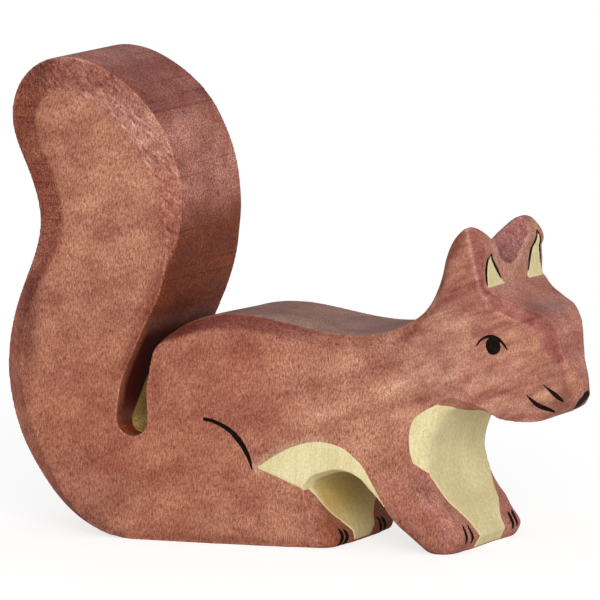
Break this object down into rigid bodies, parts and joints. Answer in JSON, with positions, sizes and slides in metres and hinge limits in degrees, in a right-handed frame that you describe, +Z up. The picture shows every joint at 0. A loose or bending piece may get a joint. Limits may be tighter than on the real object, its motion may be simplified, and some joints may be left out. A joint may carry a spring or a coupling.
{
  "type": "wooden squirrel figurine",
  "caption": "Flat wooden squirrel figurine sawn from a board, with bevelled edges, brown stain, cream paint fields and black brush strokes for the face, haunch and claws.",
  "frame": {"origin": "on the floor, under the middle of the figure's length and of the board's thickness", "axes": "+X from tail to nose, +Y across the board's thickness towards the figure's left side, +Z up"},
  "size_m": [0.0958, 0.0254, 0.0758],
  "materials": {
    "stained_wood": "matt stain",
    "cream_paint": "matt",
    "black_paint": "matt"
  },
  "bodies": {
    "root": {"wood_body": "stained_wood", "belly_paint": "cream_paint", "chest_paint": "cream_paint", "ear_paint_right": "cream_paint", "ear_paint_left": "cream_paint", "ear_outline_right": "black_paint", "ear_outline_left": "black_paint", "eye_right": "black_paint", "eye_left": "black_paint", "nose_paint": "black_paint", "whisker_lines_right": "black_paint", "whisker_lines_left": "black_paint", "haunch_line_right": "black_paint", "haunch_line_left": "black_paint", "claws_hind_right": "black_paint", "claws_hind_left": "black_paint", "claws_front_right": "black_paint", "claws_front_left": "black_paint"}
  },
  "joints": []
}
